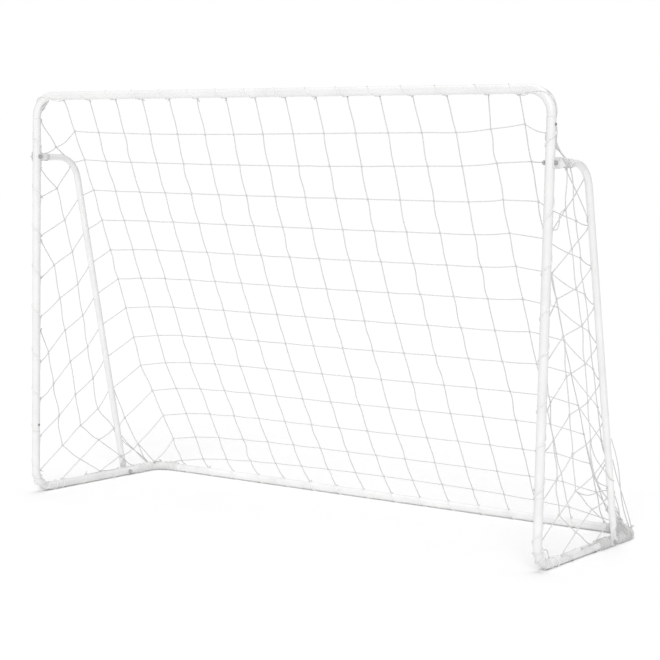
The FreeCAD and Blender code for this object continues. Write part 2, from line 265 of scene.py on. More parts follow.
def net_plan():
    """Each knot's first place, what holds it, and each cord as parts: (knots along it, length)."""
    place = {}
    hold = {}
    cords = []
    drop = LAST_ROW + 0.7
    for c in range(1, CELLS):
        x = -POST_X + 2 * POST_X * c / CELLS
        for r in range(LAST_ROW + 2):
            share = r / drop
            y = FRONT_Y + (REAR_Y - FRONT_Y) * share
            place[c, r] = (x, y, TOP_Z + (GROUND_Z - TOP_Z) * share)
        shift, shorter = TIE_SHIFTS.get(c, (0, 0))
        place[c, 0] = (x + shift, FRONT_Y + 0.6 * ON_TUBE, TOP_Z - 0.8 * ON_TUBE)
        place[c, LAST_ROW + 1] = (x, REAR_Y + 0.75 * ON_TUBE, GROUND_Z + 0.66 * ON_TUBE)
        hold[c, 0] = hold[c, LAST_ROW + 1] = TIED
        sideness = math.exp(-(min(c, CELLS - c) - 1) / EDGE_FADE)
        last = LAST_PART_MIDDLE + (LAST_PART_SIDES - LAST_PART_MIDDLE) * sideness
        lengths = [(COLUMN_LENGTH - last) / LAST_ROW] * LAST_ROW + [last]
        lengths[0] -= shorter
        keys = [(c, r) for r in range(LAST_ROW + 2)]
        parts = [([a, b], length) for a, b, length in zip(keys, keys[1:], lengths)]
        cords.append(("column", parts))
    for sign in SIGNS:
        plan_flap(sign, place, hold, cords)
        plan_row_ends(sign, place, hold)
    for r in range(1, LAST_ROW + 1):
        left = [(keys[::-1], length) for keys, length in row_side(-1, r)[::-1]]
        first, last = left[-1][0][-1][0], row_side(1, r)[0][0][0][0]
        middle = [([(c, r), (c + 1, r)], MIDDLE_PITCH) for c in range(first, last)]
        cords.append(("row", left + middle + row_side(1, r)))
    hitch = ("tie", 1, "hitch")
    place[hitch] = on_post(1, HITCH_Z)
    hold[hitch] = TIED
    bend = ("tie", 1, "bend")
    line = BRACES[1]
    nearest = line[np.linalg.norm(line - (BRACE_X, *BEND_TIE), axis=1).argmin()]
    place[bend] = tuple(nearest + unit(np.array((-0.6, -0.6, -0.4))) * ON_BRACE)
    hold[bend] = TIED
    near_bend = (flap_column(1, 2), 2)
    parts = [([bend, near_bend], BEND_TIE_LENGTH), ([near_bend, hitch], HITCH_LENGTH)]
    cords.append(("row", parts))
    return place, hold, cords


def flap_start(sign, past, r):
    """Where a flap's knot starts: behind the brace, and forward and down from there."""
    z = FLAP_START_Z - START_PITCH * (r - 3)
    y = brace_at_height(z)[1] + 0.04
    y = max(y - 0.109 * max(past, 0), FRONT_Y + 0.03)
    x = sign * (1.07 if past >= 0 else 0.98)
    return (x, y, max(z - 0.06 * max(past, 0), 0.03))


def plan_flap(sign, place, hold, cords):
    """The columns of one side; past counts them forward from the corner's."""
    for k, (r0, r1, (held_by, tie), foot_y, before, after) in enumerate(FLAP_COLUMNS[sign]):
        c = flap_column(sign, k)
        past = k - CORNER[sign]
        for r in range(r0, r1 + 1):
            place[c, r] = flap_start(sign, past, r)
        if past == 0 and sign < 0:
            place[c, 2] = (sign * (BRACE_X + 0.7 * ON_BRACE), *OVER_BEND)
            hold[c, 2] = TIED
        if past == 0 and sign > 0:
            # here the net stays inside the brace and lies along it, at its back
            for r in ROUND_BRACE_ROWS:
                on_line = brace_at_height(place[c, r][2]) + BEHIND * 0.72 * ON_BRACE
                place[c, r] = (BRACE_X - 0.70 * ON_BRACE, on_line[1], on_line[2])
                hold[c, r] = (True, False, True)
        if past < 0:
            foot = tuple(HUB)
        elif past == 0:
            foot = (sign * (POST_X - 0.012), REAR_Y - 0.008, GROUND_Z + ON_TUBE)
        else:
            foot = on_side_tube(sign, foot_y)
        if held_by == "brace":
            place[c, "top"] = (sign * BRACE_X, FRONT_Y + tie, BRACE_Z - ON_BRACE)
        else:
            place[c, "top"] = on_post(sign, tie, 0.2, 0.98)
        place[c, "foot"] = foot
        hold[c, "top"] = hold[c, "foot"] = TIED
        keys = [(c, "top")] + [(c, r) for r in range(r0, r1 + 1)] + [(c, "foot")]
        pitch = FLAP_COLUMN_PITCHES[max(past, 0)]
        lengths = [before] + [pitch] * (r1 - r0) + [after]
        parts = [([a, b], length) for a, b, length in zip(keys, keys[1:], lengths)]
        cords.append(("flap", parts))


def plan_row_ends(sign, place, hold):
    """The rows' ties on one side, and on the left the rows' points round the brace."""
    for r in range(1, LAST_ROW + 1):
        if sign > 0 and r in INNER_TIES:
            tie = on_post(sign, INNER_TIES[r][0], 0.9, 0.4)
        elif r in POST_TIES[sign]:
            tie = on_post(sign, POST_TIES[sign][r])
        elif r in SIDE_TIES:
            tie = on_side_tube(sign, SIDE_TIES[r])
        elif r == 1:
            tie = (sign * BRACE_X, FRONT_Y + 0.066, BRACE_Z + ON_BRACE)
        elif r == 12:
            tie = (sign * (POST_X - 0.2 * ON_TUBE), REAR_Y - 0.035, GROUND_Z + 0.98 * ON_TUBE)
        else:
            tie = (sign * (POST_X - 0.05), REAR_Y + 0.5 * ON_TUBE, GROUND_Z + 0.86 * ON_TUBE)
        place["tie", sign, r] = tie
        hold["tie", sign, r] = TIED
    for r in ROUND_BRACE_ROWS if sign < 0 else ():
        # the row comes from behind the brace, round its back and out past its side
        for n, degrees in enumerate((80, -10)):
            a = math.radians(degrees)
            z = ROUND_START_Z - START_PITCH * (r - 3) - 0.01 * n
            at = brace_at_height(z) + BEHIND * ON_BRACE * math.sin(a)
            at[0] = sign * (BRACE_X + ON_BRACE * math.cos(a))
            place["round", sign, r, n] = tuple(at)
            hold["round", sign, r, n] = (True, False, True)


def row_side(sign, r):
    """The parts of row r from the back panel's edge out to its tie."""
    edge = (1 if sign < 0 else CELLS - 1, r)
    tie = ("tie", sign, r)
    if sign > 0 and r in INNER_TIES:
        return [([edge, tie], INNER_TIES[r][1])]
    crossed = [k for k, f in enumerate(FLAP_COLUMNS[sign]) if f[0] <= r <= f[1]]
    if CORNER[sign] not in crossed:
        return [([edge, tie], ROW_ENDS[r])]
    stops = [edge] + [(flap_column(sign, k), r) for k in crossed]
    lengths = [ROW_PITCH] + [FLAP_PITCH] * (len(crossed) - 1)
    if sign > 0 and r in ROUND_BRACE_ROWS:
        lengths[0] += RIGHT_EDGE_EXTRA
        lengths[1:3] = RIGHT_CORNER_PITCHES[:len(lengths) - 1]
    elif sign > 0:
        lengths[0] += RIGHT_LOW_EXTRA
    else:
        lengths[0] += LEFT_EDGE_EXTRA
    parts = [([a, b], length) for a, b, length in zip(stops, stops[1:], lengths)]
    parts.append(([stops[-1], tie], ROW_ENDS[r]))
    if sign < 0 and r in ROUND_BRACE_ROWS:
        parts[1][0][1:1] = [("round", sign, r, n) for n in (0, 1)]
    return parts


RELAX_STEPS = 150
FIRST_PULL = 0.1
PULL_LIMITS = (0.002, 3)
PULL_CHANGE = (0.8, 1.25)
SHORTEST_GAP = 0.004
SHARE_MOVED = 0.7


def relax(place, hold, cords):
    """The knots' places after a fixed number of steps, before they have fully settled. Each
    part's pull is raised or eased, within limits, towards the one that gives it its length."""
    keys = list(place)
    index = {k: i for i, k in enumerate(keys)}
    count = len(keys)
    at = np.array([place[k] for k in keys]) @ AXES.T
    held = np.array([hold.get(k, (False,) * 3) for k in keys])
    ends = []
    part_of = []
    rest = []
    for _, parts in cords:
        for along, length in parts:
            for a, b in zip(along, along[1:]):
                ends.append((index[a], index[b]))
                part_of.append(len(rest))
            rest.append(length)
    ends = np.array(ends)
    part_of = np.array(part_of)
    rest = np.array(rest)
    pull = np.full(len(rest), FIRST_PULL)
    flap = np.array([
        isinstance(k[0], int) and not 1 <= k[0] <= CELLS and not held[i].any()
        for i, k in enumerate(keys)
    ])
    outward = np.sign(at[:, 0])
    brace_at = (BRACE_TOP @ AXES.T)[2]
    a, b = ends.T
    for _ in range(RELAX_STEPS):
        span = np.maximum(np.linalg.norm(at[b] - at[a], axis=1), SHORTEST_GAP)
        q = pull[part_of] / span
        stiff = np.zeros((count, count))
        np.add.at(stiff, (a, a), q)
        np.add.at(stiff, (b, b), q)
        np.add.at(stiff, (a, b), -q)
        np.add.at(stiff, (b, a), -q)
        load = np.zeros(count)
        np.add.at(load, a, span / 2)
        np.add.at(load, b, span / 2)
        # a flap's knot that meets the brace stays outside it
        off = at[:, 2] - brace_at
        touch = flap & (np.abs(off) < ON_BRACE)
        out = BRACE_X + np.sqrt(np.maximum(ON_BRACE**2 - off**2, 0))
        at[touch, 0] = outward[touch] * out[touch]
        fixed = held.copy()
        fixed[touch, 0] = True
        new = at.copy()
        for axis in range(3):
            free = np.nonzero(~fixed[:, axis])[0]
            stays = np.nonzero(fixed[:, axis])[0]
            force = -stiff[np.ix_(free, stays)] @ at[stays, axis]
            force -= CORD_WEIGHT * load[free] * AXES[axis, 2]
            new[free, axis] = np.linalg.solve(stiff[np.ix_(free, free)], force)
        at += SHARE_MOVED * (new - at)
        total = np.zeros(len(rest))
        np.add.at(total, part_of, np.linalg.norm(at[b] - at[a], axis=1))
        pull = np.clip(pull * np.clip(total / rest, *PULL_CHANGE) ** 1.5, *PULL_LIMITS)
    return dict(zip(keys, at @ AXES))


# ---------------------------------------------------------------- cords as meshes
def clear_of_steel(points):
    """Moves points out of the tubes and braces to their surfaces."""
    points = np.array(points)
    lines = [(LOOP, ON_TUBE)] + [(line, ON_BRACE) for line in BRACES.values()]
    for line, reach in lines:
        start, run = line[:-1], np.diff(line, axis=0)
        share = ((points[:, None] - start) * run).sum(2) / (run * run).sum(1)
        near = start + np.clip(share, 0, 1)[..., None] * run
        gap = np.linalg.norm(points[:, None] - near, axis=2)
        best = gap.argmin(1)
        rows = np.arange(len(points))
        away = points - near[rows, best]
        distance = gap[rows, best]
        inside = distance < reach
        scale = reach / np.maximum(distance[inside], 1e-6)
        points[inside] = near[rows, best][inside] + away[inside] * scale[:, None]
    return points


def hang(points, lengths, sway, step=0.009):
    """A cord's line through its knots: taut parts nearly straight, spare length as a wavy sag."""
    line = [np.array(points[0])]
    for a, b, length in zip(points, points[1:], lengths):
        a, b = np.array(a), np.array(b)
        gap = np.linalg.norm(b - a)
        if gap < 1e-4:
            continue
        spare = max(0, min(length, gap * 1.2) - gap)
        run = (b - a) / gap
        level = unit(np.cross(run, (0, 0, 1)) + 1e-6)
        low = np.cross(level, run)
        low *= -np.sign(low[2] or 1)
        # a shallow sag's depth is the root of 3/8 of span times spare length
        dip = SLACK_SHOWN * math.sqrt(0.375 * gap * spare)
        wave = rng.gauss(0, sway) * gap
        wave_out = rng.gauss(0, sway) * gap
        bow = rng.gauss(0, sway) * gap
        parts = max(2, round(gap / step))
        for k in range(1, parts + 1):
            t = k / parts
            arch, swing = math.sin(math.pi * t), math.sin(2 * math.pi * t)
            aside = level * (wave_out * swing + bow * arch)
            line.append(a + (b - a) * t + low * (dip * arch + wave * swing) + aside)
    line = clear_of_steel(line)
    smooth = line.copy()
    smooth[1:-1] = 0.5 * line[1:-1] + 0.25 * (line[:-2] + line[2:])
    return clear_of_steel(smooth)


def cord_mesh(name, lines, radius=CORD_R, sides=8):
    """One mesh of round cords; the map "cord" keeps metres along and turns round each of them."""
    verts, faces, maps = [], [], []
    circle = np.arange(sides) * 2 * math.pi / sides
    for line in lines:
        line = np.asarray(line, float)
        keep = np.ones(len(line), bool)
        keep[1:] = np.linalg.norm(np.diff(line, axis=0), axis=1) > 1e-5
        line = line[keep]
        run, n1, n2 = frames_along(line)
        gaps = np.linalg.norm(np.diff(line, axis=0), axis=1)
        along = np.concatenate(([0], np.cumsum(gaps))) + rng.random()
        ring = np.cos(circle)[:, None] * n1[:, None] + np.sin(circle)[:, None] * n2[:, None]
        first = line[0] - run[0] * radius * 0.5
        last = line[-1] + run[-1] * radius * 0.5
        body = line[:, None] + ring * radius
        base = len(verts)
        verts += [tuple(first)] + [tuple(v) for v in body.reshape(-1, 3)] + [tuple(last)]
        end = base + 1 + len(line) * sides
        for j in range(sides):
            j2 = (j + 1) % sides
            v0, v1 = j / sides, (j + 1) / sides
            faces.append((base, base + 1 + j2, base + 1 + j))
            maps += [(along[0], v0), (along[0], v1), (along[0], v0)]
            for i in range(len(line) - 1):
                p = base + 1 + i * sides
                faces.append((p + j, p + j2, p + sides + j2, p + sides + j))
                u0, u1 = along[i], along[i + 1]
                maps += [(u0, v0), (u0, v1), (u1, v1), (u1, v0)]
            faces.append((end, end - sides + j, end - sides + j2))
            maps += [(along[-1], v0), (along[-1], v0), (along[-1], v1)]
    mesh = bpy.data.meshes.new(name)
    mesh.from_pydata(verts, [], faces)
    layer = mesh.uv_layers.new(name="cord")
    layer.data.foreach_set("uv", np.array(maps, np.float32).ravel())
    mesh.shade_smooth()
    piece = bpy.data.objects.new(name, mesh)
    bpy.context.scene.collection.objects.link(piece)
    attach(piece, "frame")
    return piece


def coil(centre, axis, radius, turns, pitch, lean=0.0):
    """A short winding of cord round an axis through centre, from any side of it."""
    axis = unit(axis)
    side = unit(np.cross(axis, (0.31, 0.87, 0.38)))
    other = np.cross(axis, side)
    samples = max(8, round(turns * 10))
    start = rng.random() * 2 * math.pi
    line = []
    for k in range(samples + 1):
        t = k / samples - 0.5
        a = start + 2 * math.pi * turns * t
        out = radius * (1 + lean * math.sin(3 * a))
        rise = axis * turns * pitch * t
        line.append(centre + rise + out * (side * math.cos(a) + other * math.sin(a)))
    return line


def stub(at, away, length):
    """The short trimmed end of a knot."""
    away = unit(away)
    bend = unit(np.cross(away, (rng.gauss(0, 1), rng.gauss(0, 1), rng.gauss(0, 1))))
    return [at + away * length * t + bend * length * 0.3 * t * t for t in np.linspace(0, 1, 6)]


# ---------------------------------------------------------------- lacing on the tubes
LOOP_RUN, LOOP_N1, LOOP_N2 = frames_along(LOOP)
LOOP_AT = np.concatenate(([0], np.cumsum(np.linalg.norm(np.diff(LOOP, axis=0), axis=1))))


def place_on_loop(point):
    return LOOP_AT[np.linalg.norm(LOOP - np.array(point), axis=1).argmin()]


def span_on_loop(start, end):
    """Both points' places along the loop, the shorter way round from start to end."""
    s0, s1 = place_on_loop(start), place_on_loop(end)
    if abs(s1 - s0) > LOOP_AT[-1] / 2:
        s1 += LOOP_AT[-1] * (1 if s1 < s0 else -1)
    return s0, s1


def loop_frame(s):
    s = s % LOOP_AT[-1]
    pick = [np.array([np.interp(s, LOOP_AT, table[:, i]) for i in range(3)])
            for table in (LOOP, LOOP_N1, LOOP_N2)]
    return pick[0], unit(pick[1]), unit(pick[2])


def lacing(stops, step=0.004):
    """A cord wound on the tube. Each stop: (point, direction of the cord there,
    whole turns on the way to the next stop, how late the turn comes, height above the tube)."""
    line = []
    heading = None
    for (point, way, turns, late, lift), following in zip(stops, stops[1:]):
        s0, s1 = span_on_loop(point, following[0])
        angles = []
        for s, way_here in ((s0, way), (s1, following[1])):
            _, n1, n2 = loop_frame(s)
            angles.append(math.atan2(np.dot(way_here, n2), np.dot(way_here, n1)))
        if heading is None:
            heading = angles[0]
        target = angles[1]
        aim = heading + 2 * math.pi * turns
        target += 2 * math.pi * round((aim - target) / (2 * math.pi))
        length = math.hypot(s1 - s0, (target - heading) * ON_TUBE)
        parts = max(3, round(length / step))
        for k in range(parts + 1):
            t = k / parts
            centre, n1, n2 = loop_frame(s0 + (s1 - s0) * t)
            a = heading + (target - heading) * t**late
            out = TUBE_R + CORD_R * 0.92 + lift + (following[4] - lift) * t
            line.append(centre + out * (n1 * math.cos(a) + n2 * math.sin(a)))
        heading = target
    return line


def winding(start, end, turns, way_start, way_end, stray):
    """Close turns between two points of the tube, in uneven steps, some over others."""
    s0, s1 = span_on_loop(start, end)
    stops = []
    for k in range(turns + 1):
        share = k / turns
        if 0 < k < turns:
            share += rng.uniform(-0.35, 0.35) * stray / turns
        centre, n1, n2 = loop_frame(s0 + (s1 - s0) * share)
        if k == 0:
            way = way_start
        elif k == turns:
            way = way_end
        else:
            a = rng.gauss(0, 0.4)
            way = n1 * math.cos(a) + n2 * math.sin(a)
        lift = CORD_R * 1.8 * (k % 3 == 1) * (stray > 0)
        stops.append((centre, way, 1, 1.0, lift))
    return stops


# ---------------------------------------------------------------- finishes
def new_material(name, base, roughness, metallic=0.0):
    made = bpy.data.materials.new(name)
    made.use_nodes = True
    shader = made.node_tree.nodes["Principled BSDF"]
    shader.inputs["Base Color"].default_value = (*base, 1)
    shader.inputs["Roughness"].default_value = roughness
    shader.inputs["Metallic"].default_value = metallic
    return made, made.node_tree, shader


def add(tree, kind, links=None, **values):
    """A node with its sockets set and linked; values for properties go in by their own names."""
    node = tree.nodes.new(kind)
    for key, value in values.items():
        setattr(node, key, value)
    for socket, source in (links or {}).items():
        if isinstance(source, bpy.types.NodeSocket):
            tree.links.new(source, node.inputs[socket])
        else:
            node.inputs[socket].default_value = source
    return node


def noise(tree, where, scale, detail=3.0, roughness=0.55):
    links = {"Vector": where, "Scale": scale, "Detail": detail, "Roughness": roughness}
    return add(tree, "ShaderNodeTexNoise", links).outputs["Fac"]


def remap(tree, value, low, high, to_low=0.0, to_high=1.0):
    links = {"Value": value, "From Min": low, "From Max": high, "To Min": to_low, "To Max": to_high}
    return add(tree, "ShaderNodeMapRange", links).outputs["Result"]


def maths(tree, operation, a, b=0.0):
    return add(tree, "ShaderNodeMath", {0: a, 1: b}, operation=operation).outputs[0]


def tint(tree, share, from_colour, to_colour):
    """A colour between two, by share; either may be a socket."""
    low, high = (
        c if isinstance(c, bpy.types.NodeSocket) else (*c, 1) for c in (from_colour, to_colour)
    )
    # of a Mix node's sockets, 0 is the factor, 6 and 7 are the colours, and 2 is their result
    return add(tree, "ShaderNodeMix", {0: share, 6: low, 7: high}, data_type="RGBA").outputs[2]


def bump(tree, shader, height, distance, strength=1.0, before=None):
    links = {"Height": height, "Distance": distance, "Strength": strength}
    if before is not None:
        links["Normal"] = before
    out = add(tree, "ShaderNodeBump", links).outputs["Normal"]
    tree.links.new(out, shader.inputs["Normal"])
    return out


def powder_coat():
    """White powder coat: fine orange peel, faint cloudiness, scuffs, and darker, rougher patches
    near the ground.
    """
    made, tree, shader = new_material("white_powder_coat", (0.84, 0.84, 0.83), 0.36)
    where = add(tree, "ShaderNodeTexCoord").outputs["Object"]
    cloud = noise(tree, where, 9.0, 4.0)
    colour = tint(tree, remap(tree, cloud, 0.35, 0.68), (0.86, 0.86, 0.85), (0.80, 0.80, 0.795))
    height = add(tree, "ShaderNodeSeparateXYZ", {"Vector": where}).outputs["Z"]
    # darker, browner and rougher in patches within 10 cm of the ground
    near_ground = remap(tree, height, 0.10, 0.0)
    patches = remap(tree, noise(tree, where, 25.0, 5.0), 0.48, 0.75)
    patches_near_ground = maths(tree, "MULTIPLY", near_ground, patches)
    colour = tint(tree, maths(tree, "MULTIPLY", patches_near_ground, 0.22), colour, (0.50, 0.49, 0.46))
    rub = add(tree, "ShaderNodeMapping", {"Vector": where, "Scale": (40.0, 260.0, 40.0)})
    marks = remap(tree, noise(tree, rub.outputs["Vector"], 1.0, 6.0, 0.7), 0.70, 0.78)
    colour = tint(tree, maths(tree, "MULTIPLY", marks, 0.35), colour, (0.55, 0.55, 0.54))
    tree.links.new(colour, shader.inputs["Base Color"])
    sheen = remap(tree, noise(tree, where, 35.0, 4.0), 0.3, 0.7, 0.30, 0.44)
    tree.links.new(maths(tree, "ADD", sheen, maths(tree, "MULTIPLY", patches_near_ground, 0.2)),
                   shader.inputs["Roughness"])
    peel = bump(tree, shader, noise(tree, where, 520.0, 2.0), 0.00012, 0.6)
    bump(tree, shader, noise(tree, where, 60.0, 2.0), 0.0004, 0.25, peel)
    shader.inputs["Coat Weight"].default_value = 0.15
    shader.inputs["Coat Roughness"].default_value = 0.22
    return made


def plated_steel(name, base, dark, roughness, grain):
    """Zinc-plated or bare steel: mottled tone, fine grain, darker where dirt sits."""
    made, tree, shader = new_material(name, base, roughness, 0.72)
    where = add(tree, "ShaderNodeTexCoord").outputs["Object"]
    mottle = noise(tree, where, 320.0, 5.0, 0.6)
    colour = tint(tree, remap(tree, mottle, 0.35, 0.70), base, dark)
    spots = remap(tree, noise(tree, where, 900.0, 3.0), 0.62, 0.72)
    warm = tuple(v * w for v, w in zip(dark, (1.15, 0.92, 0.72)))
    colour = tint(tree, maths(tree, "MULTIPLY", spots, 0.5), colour, warm)
    tree.links.new(colour, shader.inputs["Base Color"])
    rough = remap(tree, noise(tree, where, 700.0, 4.0), 0.3, 0.7, roughness - 0.1, roughness + 0.14)
    tree.links.new(rough, shader.inputs["Roughness"])
    stretched = add(tree, "ShaderNodeMapping", {"Vector": where, "Scale": grain}).outputs["Vector"]
    bump(tree, shader, noise(tree, stretched, 1.0, 4.0), 0.00005, 0.5)
    return made


LAY_LENGTH = 0.0042


def net_cord_finish(name, low_tone, high_tone):
    """Twisted white polyethylene cord: three strands, fine fibres, a little dust, and painted shade
    in the grooves between the strands.
    """
    made, tree, shader = new_material(name, high_tone, 0.55)
    where = add(tree, "ShaderNodeTexCoord").outputs["Object"]
    cord = add(tree, "ShaderNodeUVMap", uv_map="cord").outputs["UV"]
    split = add(tree, "ShaderNodeSeparateXYZ", {"Vector": cord})
    along = maths(tree, "MULTIPLY", split.outputs["X"], 2 * math.pi / LAY_LENGTH)
    around = maths(tree, "MULTIPLY", split.outputs["Y"], 2 * math.pi)
    lay = maths(tree, "SINE", maths(tree, "ADD", along, around))
    # the lay's ridges, used for the bump and as painted shade in the grooves
    ridges_and_groove_shade = remap(tree, lay, -1.0, 1.0)
    fibre = add(tree, "ShaderNodeCombineXYZ", {
        "X": maths(tree, "MULTIPLY", split.outputs["X"], 900.0),
        "Y": maths(tree, "MULTIPLY", maths(tree, "ADD", along, around), 3.0),
    }).outputs["Vector"]
    hair = noise(tree, fibre, 1.0, 3.0)
    # painted shade: darker in the grooves between the strands, lighter on their crowns
    colour = tint(tree, ridges_and_groove_shade, low_tone, high_tone)
    dust = remap(tree, noise(tree, where, 14.0, 5.0), 0.45, 0.75)
    colour = tint(tree, maths(tree, "MULTIPLY", dust, 0.3), colour, low_tone)
    tree.links.new(colour, shader.inputs["Base Color"])
    tree.links.new(remap(tree, hair, 0.3, 0.7, 0.48, 0.66), shader.inputs["Roughness"])
    low = bump(tree, shader, ridges_and_groove_shade, 0.0003, 0.7)
    bump(tree, shader, hair, 0.00012, 0.5, low)
    shader.inputs["Sheen Weight"].default_value = 0.15
    shader.inputs["Sheen Roughness"].default_value = 0.5
    return made


def floor_finish():
    """A pale matt floor, very slightly uneven in tone."""
    made, tree, shader = new_material("pale_floor", (0.95, 0.95, 0.95), 0.9)
    where = add(tree, "ShaderNodeTexCoord").outputs["Object"]
    soft = remap(tree, noise(tree, where, 3.0, 2.0), 0.3, 0.7)
    tree.links.new(tint(tree, soft, (0.945, 0.945, 0.945), (0.955, 0.955, 0.955)),
                   shader.inputs["Base Color"])
    shader.inputs["Specular IOR Level"].default_value = 0.1
    return made


POWDER = powder_coat()
ZINC = plated_steel("dull_zinc", (0.62, 0.62, 0.63), (0.42, 0.42, 0.43), 0.42, (900, 900, 900))
BUTTON = plated_steel("button_steel", (0.40, 0.40, 0.41), (0.20, 0.20, 0.21), 0.38, (80, 2200, 80))
SPRING = plated_steel("spring_steel", (0.50, 0.50, 0.51), (0.33, 0.33, 0.34), 0.33, (2200, 60, 400))
CORD = net_cord_finish("twisted_cord", (0.62, 0.62, 0.61), (0.72, 0.72, 0.71))
# a lighter copy of the net's cord for the lacing: partly painted light, offsetting the shade where
# the cord winds tightly on the tubes and in the left rear gather
LACE_LIGHTENED = net_cord_finish("lacing_cord_lightened", (0.80, 0.80, 0.79), (0.86, 0.86, 0.85))


def finish_of(node):
    if node.startswith("brace_") and node not in ("brace_left", "brace_right"):
        return ZINC
    if "button" in node:
        return BUTTON
    if "spring" in node:
        return SPRING
    if node.startswith("net_"):
        return CORD
    return POWDER


for node_name, node_object in frame["nodes"].items():
    for holder in node_object.material_slots:
        holder.material = finish_of(node_name)

# ---------------------------------------------------------------- making the net
place, hold, cords = net_plan()
knots = relax(place, hold, cords)


def lines_of(kind_wanted, keep, sway):
    """Cord lines of one kind, made of the parts that keep() accepts, joined where they meet."""
    made = []
    for kind, parts in cords:
        if kind != kind_wanted:
            continue
        runs = [[]]
        for part in parts:
            if keep(part):
                runs[-1].append(part)
            elif runs[-1]:
                runs.append([])
        for run in runs:
            if not run:
                continue
            points = [knots[run[0][0][0]]]
            lengths = []
            for along, length in run:
                gaps = [np.linalg.norm(knots[b] - knots[a]) for a, b in zip(along, along[1:])]
                scale = length / sum(gaps)
                for (a, b), gap in zip(zip(along, along[1:]), gaps):
                    if a[0] == b[0] == "round":
                        points += round_the_brace(knots[a], knots[b])
                        lengths += [0] * 4
                    else:
                        points.append(knots[b])
                        lengths.append(gap * scale)
            made.append(hang(points, lengths, sway))
    return made


def round_the_brace(a, b):
    """Points on the brace's surface from a to b."""
    sign = np.sign(a[0])
    found = []
    for t in (0.25, 0.5, 0.75, 1.0):
        p = a + (b - a) * t
        off = p - BRACE_TOP
        axis = BRACE_TOP + ALONG * np.dot(off, ALONG) + np.array((sign * BRACE_X, 0, 0))
        found.append(axis + unit(p - axis) * ON_BRACE)
    return found


def on_back(part):
    return all(isinstance(k[0], int) and 0 <= k[0] <= CELLS for k in part[0])


def on_flap(sign):
    return lambda part: not on_back(part) and knots[part[0][0]][0] * sign > 0


back_lines = lines_of("column", lambda part: True, 0.009) + lines_of("row", on_back, 0.002)
net_back = cord_mesh("net_mesh_back", back_lines)
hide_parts("net_back")
for sign, side_name in zip(SIGNS, ("left", "right")):
    flap_lines = lines_of("row", on_flap(sign), 0.004)
    flap_lines += [
        line for line in lines_of("flap", lambda part: True, 0.010) if line[0][0] * sign > 0
    ]
    net_side = cord_mesh("net_mesh_" + side_name, flap_lines)
    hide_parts("net_side_" + side_name)

# each crossing's knot: the row's cord takes a turn and a half round the column's
knot_lines = []
for key, spot in knots.items():
    if isinstance(key[0], int) and isinstance(key[1], int) and 1 <= key[1] <= LAST_ROW:
        below = knots.get((key[0], key[1] + 1), knots.get((key[0], "foot")))
        if below is None:
            continue
        spot = clear_of_steel([spot])[0]
        axis = unit(below - spot) + np.array([rng.gauss(0, 0.22) for _ in range(3)])
        knot_lines.append(coil(spot, axis, CORD_R * 1.35, 1.7, CORD_R * 1.7, 0.12))
cord_mesh("net_knots", knot_lines, CORD_R * 0.95, 6)


# ---------------------------------------------------------------- the lacing
def tie_at(key):
    return np.array(knots[key])


def outward_of(point):
    """The direction from the tube's line to a point beside it."""
    s = place_on_loop(point)
    centre, _, _ = loop_frame(s)
    return unit(np.array(point) - centre)


def stop(point, turns=1, late=2.4):
    """One of lacing()'s stops, where the cord lies on the tube and leads away from it."""
    return (point, outward_of(point), turns, late, 0.0)


# Strands of gathered netting lie along the upper bends: inside the left one, and from the last
# take-off down past the right one. Each: X and Z of both ends, the side of the tube they lie
# on, how many, how far they fan, and how high they may rise, in cord radii.
BUNCHES = {
    -1: (((-1.048, 1.424), (-1.004, 1.470)), (0.7, -0.1, -0.7), 7, 0.25, (1.0, 2.6, 4.2)),
    1: (((1.060, 1.392), (0.960, 1.485)), (0.35, 0.9, 0.1), 6, 0.5, (1.0, 1.0, 2.6)),
}


def bunch(sign):
    """The lines of one side's bunched strands."""
    ends, heading, count, spread, rises = BUNCHES[sign]
    s0, s1 = (place_on_loop((x, FRONT_Y, z)) for x, z in ends)
    lines = []
    for _ in range(count):
        fan = rng.uniform(-spread, spread)
        lift = CORD_R * rng.choice(rises)
        trim0, trim1 = rng.uniform(0, 0.18), rng.uniform(0.8, 1.0)
        swing = rng.uniform(0, 6.28)
        line = []
        for t in np.linspace(trim0, trim1, 26):
            centre, n1, n2 = loop_frame(s0 + (s1 - s0) * t)
            level = math.atan2(np.dot(heading, n2), np.dot(heading, n1))
            a = level + fan + 0.12 * math.sin(7 * t + swing)
            swell = lift * (0.25 + 0.75 * math.sin(math.pi * (t - trim0) / (trim1 - trim0)))
            out = TUBE_R + swell
            line.append(centre + out * (n1 * math.cos(a) + n2 * math.sin(a)))
        lines.append(line)
    return lines


